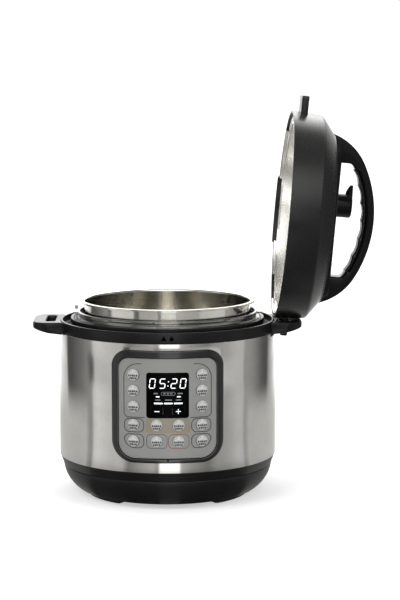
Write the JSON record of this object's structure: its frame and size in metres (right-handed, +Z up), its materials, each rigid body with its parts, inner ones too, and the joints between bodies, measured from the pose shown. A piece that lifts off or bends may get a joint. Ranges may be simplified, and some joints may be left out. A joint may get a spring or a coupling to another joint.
{
  "type": "electric pressure cooker",
  "caption": "Small round electric pressure cooker with a curved key panel, a lift-out steel pot and an arch-handled lid stored upright in a side handle.",
  "frame": {"origin": "the cooker's vertical axis on the surface that the feet stand on", "axes": "+Z up, -Y the side with the control panel, +X the side handle that holds the stored lid"},
  "size_m": [0.3808, 0.267, 0.4452],
  "materials": {
    "wrap_steel": "vertical brushed satin",
    "base_plastic": "satin moulded",
    "ring_plastic": "satin moulded",
    "lid_plastic": "smooth moulded",
    "handle_plastic": "smooth moulded",
    "grip_plastic": "fine texture",
    "valve_plastic": "fine texture",
    "pot_steel": "polished",
    "liner_steel": "drawn",
    "flange_steel": "polished",
    "lid_steel": "polished",
    "heater_aluminium": "cast and turned",
    "small_steel": "plain",
    "spring_steel": "drawn wire",
    "silicone": "translucent matt",
    "foot_rubber": "matt",
    "board": "solder resist",
    "switch_plastic": "matt",
    "display_plastic": "matt",
    "bezel_plastic": "gloss",
    "overlay_film": "fine metallic film",
    "key_film": "embossed metallic film",
    "window_plastic": "gloss",
    "inlet_plastic": "matt",
    "pin_brass": "plated",
    "collector_plastic": "clear"
  },
  "bodies": {
    "cooker_base": {"outer_shell": "wrap_steel", "base_housing": "base_plastic", "bottom_cover": "base_plastic", "bottom_screws": "small_steel", "rubber_feet": "foot_rubber", "upper_ring": "ring_plastic", "right_handle": "ring_plastic", "left_handle": "ring_plastic", "lid_stop_pin": "small_steel", "cooker_liner": "liner_steel", "bayonet_flange": "flange_steel", "heating_plate": "heater_aluminium", "sensor_spring": "spring_steel", "sensor_bracket": "small_steel", "pressure_switch": "switch_plastic", "power_board": "board", "control_board": "board", "display_module": "display_plastic", "panel_bezel": "bezel_plastic", "panel_overlay": "overlay_film", "display_window": "window_plastic", "power_inlet": "inlet_plastic", "inlet_pins": "pin_brass", "collector_bracket": "ring_plastic"},
    "pot": {"inner_pot": "pot_steel"},
    "lid": {"lid_cover": "lid_plastic", "steel_lid": "lid_steel", "seal_rack": "small_steel", "sealing_ring": "silicone", "lid_handle": "handle_plastic", "handle_grip": "grip_plastic", "lid_screws": "small_steel", "steam_release_pipe": "small_steel", "pipe_nut": "small_steel", "anti_block_shield": "small_steel"},
    "steam_release": {"steam_release_handle": "valve_plastic"},
    "float": {"float_valve": "small_steel", "float_valve_cap": "silicone"},
    "sensor": {"temperature_sensor": "heater_aluminium"},
    "collector": {"condensation_collector": "collector_plastic"},
    "body_key_01": {"key_01": "key_film"},
    "body_key_02": {"key_02": "key_film"},
    "body_key_03": {"key_03": "key_film"},
    "body_key_04": {"key_04": "key_film"},
    "body_key_05": {"key_05": "key_film"},
    "body_key_06": {"key_06": "key_film"},
    "body_key_07": {"key_07": "key_film"},
    "body_key_08": {"key_08": "key_film"},
    "body_key_09": {"key_09": "key_film"},
    "body_key_10": {"key_10": "key_film"},
    "body_key_11": {"key_11": "key_film"},
    "body_key_12": {"key_12": "key_film"},
    "body_key_13": {"key_13": "key_film"},
    "body_key_14": {"key_14": "key_film"},
    "body_key_minus": {"key_minus": "window_plastic"},
    "body_key_plus": {"key_plus": "window_plastic"}
  },
  "joints": [
    {"name": "inner_pot_lift", "type": "slide", "parent": "cooker_base", "child": "pot", "axis": [0, 0, 1], "range_m": [0, 0.15]},
    {"name": "lid_lift", "type": "slide", "parent": "cooker_base", "child": "lid", "axis": [0.088, 0, 0.9961], "range_m": [0, 0.06]},
    {"name": "steam_release_turn", "type": "hinge", "parent": "lid", "child": "steam_release", "pos_m": [0.18655, 0.038, 0.32048], "axis": [0.9961, 0, -0.088], "range_deg": [-60, 0]},
    {"name": "float_valve_rise", "type": "slide", "parent": "lid", "child": "float", "axis": [0.9961, 0, -0.088], "range_m": [0, 0.0047]},
    {"name": "sensor_press", "type": "slide", "parent": "cooker_base", "child": "sensor", "axis": [0, 0, 1], "range_m": [-0.0025, 0], "stiffness_N_per_m": 400, "springref_m": 0.004, "deforming": ["sensor_spring"]},
    {"name": "collector_pull", "type": "slide", "parent": "cooker_base", "child": "collector", "axis": [0, 1, 0], "range_m": [0, 0.04]},
    {"name": "key_01_press", "type": "slide", "parent": "cooker_base", "child": "body_key_01", "axis": [0.2982, 0.9545, 0], "range_m": [0, 0.0004], "stiffness_N_per_m": 2000, "springref_m": -0.0003},
    {"name": "key_02_press", "type": "slide", "parent": "cooker_base", "child": "body_key_02", "axis": [-0.2982, 0.9545, 0], "range_m": [0, 0.0004], "stiffness_N_per_m": 2000, "springref_m": -0.0003},
    {"name": "key_03_press", "type": "slide", "parent": "cooker_base", "child": "body_key_03", "axis": [0.2982, 0.9545, 0], "range_m": [0, 0.0004], "stiffness_N_per_m": 2000, "springref_m": -0.0003},
    {"name": "key_04_press", "type": "slide", "parent": "cooker_base", "child": "body_key_04", "axis": [-0.2982, 0.9545, 0], "range_m": [0, 0.0004], "stiffness_N_per_m": 2000, "springref_m": -0.0003},
    {"name": "key_05_press", "type": "slide", "parent": "cooker_base", "child": "body_key_05", "axis": [0.2982, 0.9545, 0], "range_m": [0, 0.0004], "stiffness_N_per_m": 2000, "springref_m": -0.0003},
    {"name": "key_06_press", "type": "slide", "parent": "cooker_base", "child": "body_key_06", "axis": [-0.2982, 0.9545, 0], "range_m": [0, 0.0004], "stiffness_N_per_m": 2000, "springref_m": -0.0003},
    {"name": "key_07_press", "type": "slide", "parent": "cooker_base", "child": "body_key_07", "axis": [0.2982, 0.9545, 0], "range_m": [0, 0.0004], "stiffness_N_per_m": 2000, "springref_m": -0.0003},
    {"name": "key_08_press", "type": "slide", "parent": "cooker_base", "child": "body_key_08", "axis": [0.0956, 0.9954, 0], "range_m": [0, 0.0004], "stiffness_N_per_m": 2000, "springref_m": -0.0003},
    {"name": "key_09_press", "type": "slide", "parent": "cooker_base", "child": "body_key_09", "axis": [-0.0956, 0.9954, 0], "range_m": [0, 0.0004], "stiffness_N_per_m": 2000, "springref_m": -0.0003},
    {"name": "key_10_press", "type": "slide", "parent": "cooker_base", "child": "body_key_10", "axis": [-0.2982, 0.9545, 0], "range_m": [0, 0.0004], "stiffness_N_per_m": 2000, "springref_m": -0.0003},
    {"name": "key_11_press", "type": "slide", "parent": "cooker_base", "child": "body_key_11", "axis": [0.2982, 0.9545, 0], "range_m": [0, 0.0004], "stiffness_N_per_m": 2000, "springref_m": -0.0003},
    {"name": "key_12_press", "type": "slide", "parent": "cooker_base", "child": "body_key_12", "axis": [0.0956, 0.9954, 0], "range_m": [0, 0.0004], "stiffness_N_per_m": 2000, "springref_m": -0.0003},
    {"name": "key_13_press", "type": "slide", "parent": "cooker_base", "child": "body_key_13", "axis": [-0.0956, 0.9954, 0], "range_m": [0, 0.0004], "stiffness_N_per_m": 2000, "springref_m": -0.0003},
    {"name": "key_14_press", "type": "slide", "parent": "cooker_base", "child": "body_key_14", "axis": [-0.2982, 0.9545, 0], "range_m": [0, 0.0004], "stiffness_N_per_m": 2000, "springref_m": -0.0003},
    {"name": "key_minus_press", "type": "slide", "parent": "cooker_base", "child": "body_key_minus", "axis": [0.0915, 0.9958, 0], "range_m": [0, 0.0004], "stiffness_N_per_m": 2000, "springref_m": -0.0003},
    {"name": "key_plus_press", "type": "slide", "parent": "cooker_base", "child": "body_key_plus", "axis": [-0.0915, 0.9958, 0], "range_m": [0, 0.0004], "stiffness_N_per_m": 2000, "springref_m": -0.0003}
  ]
}
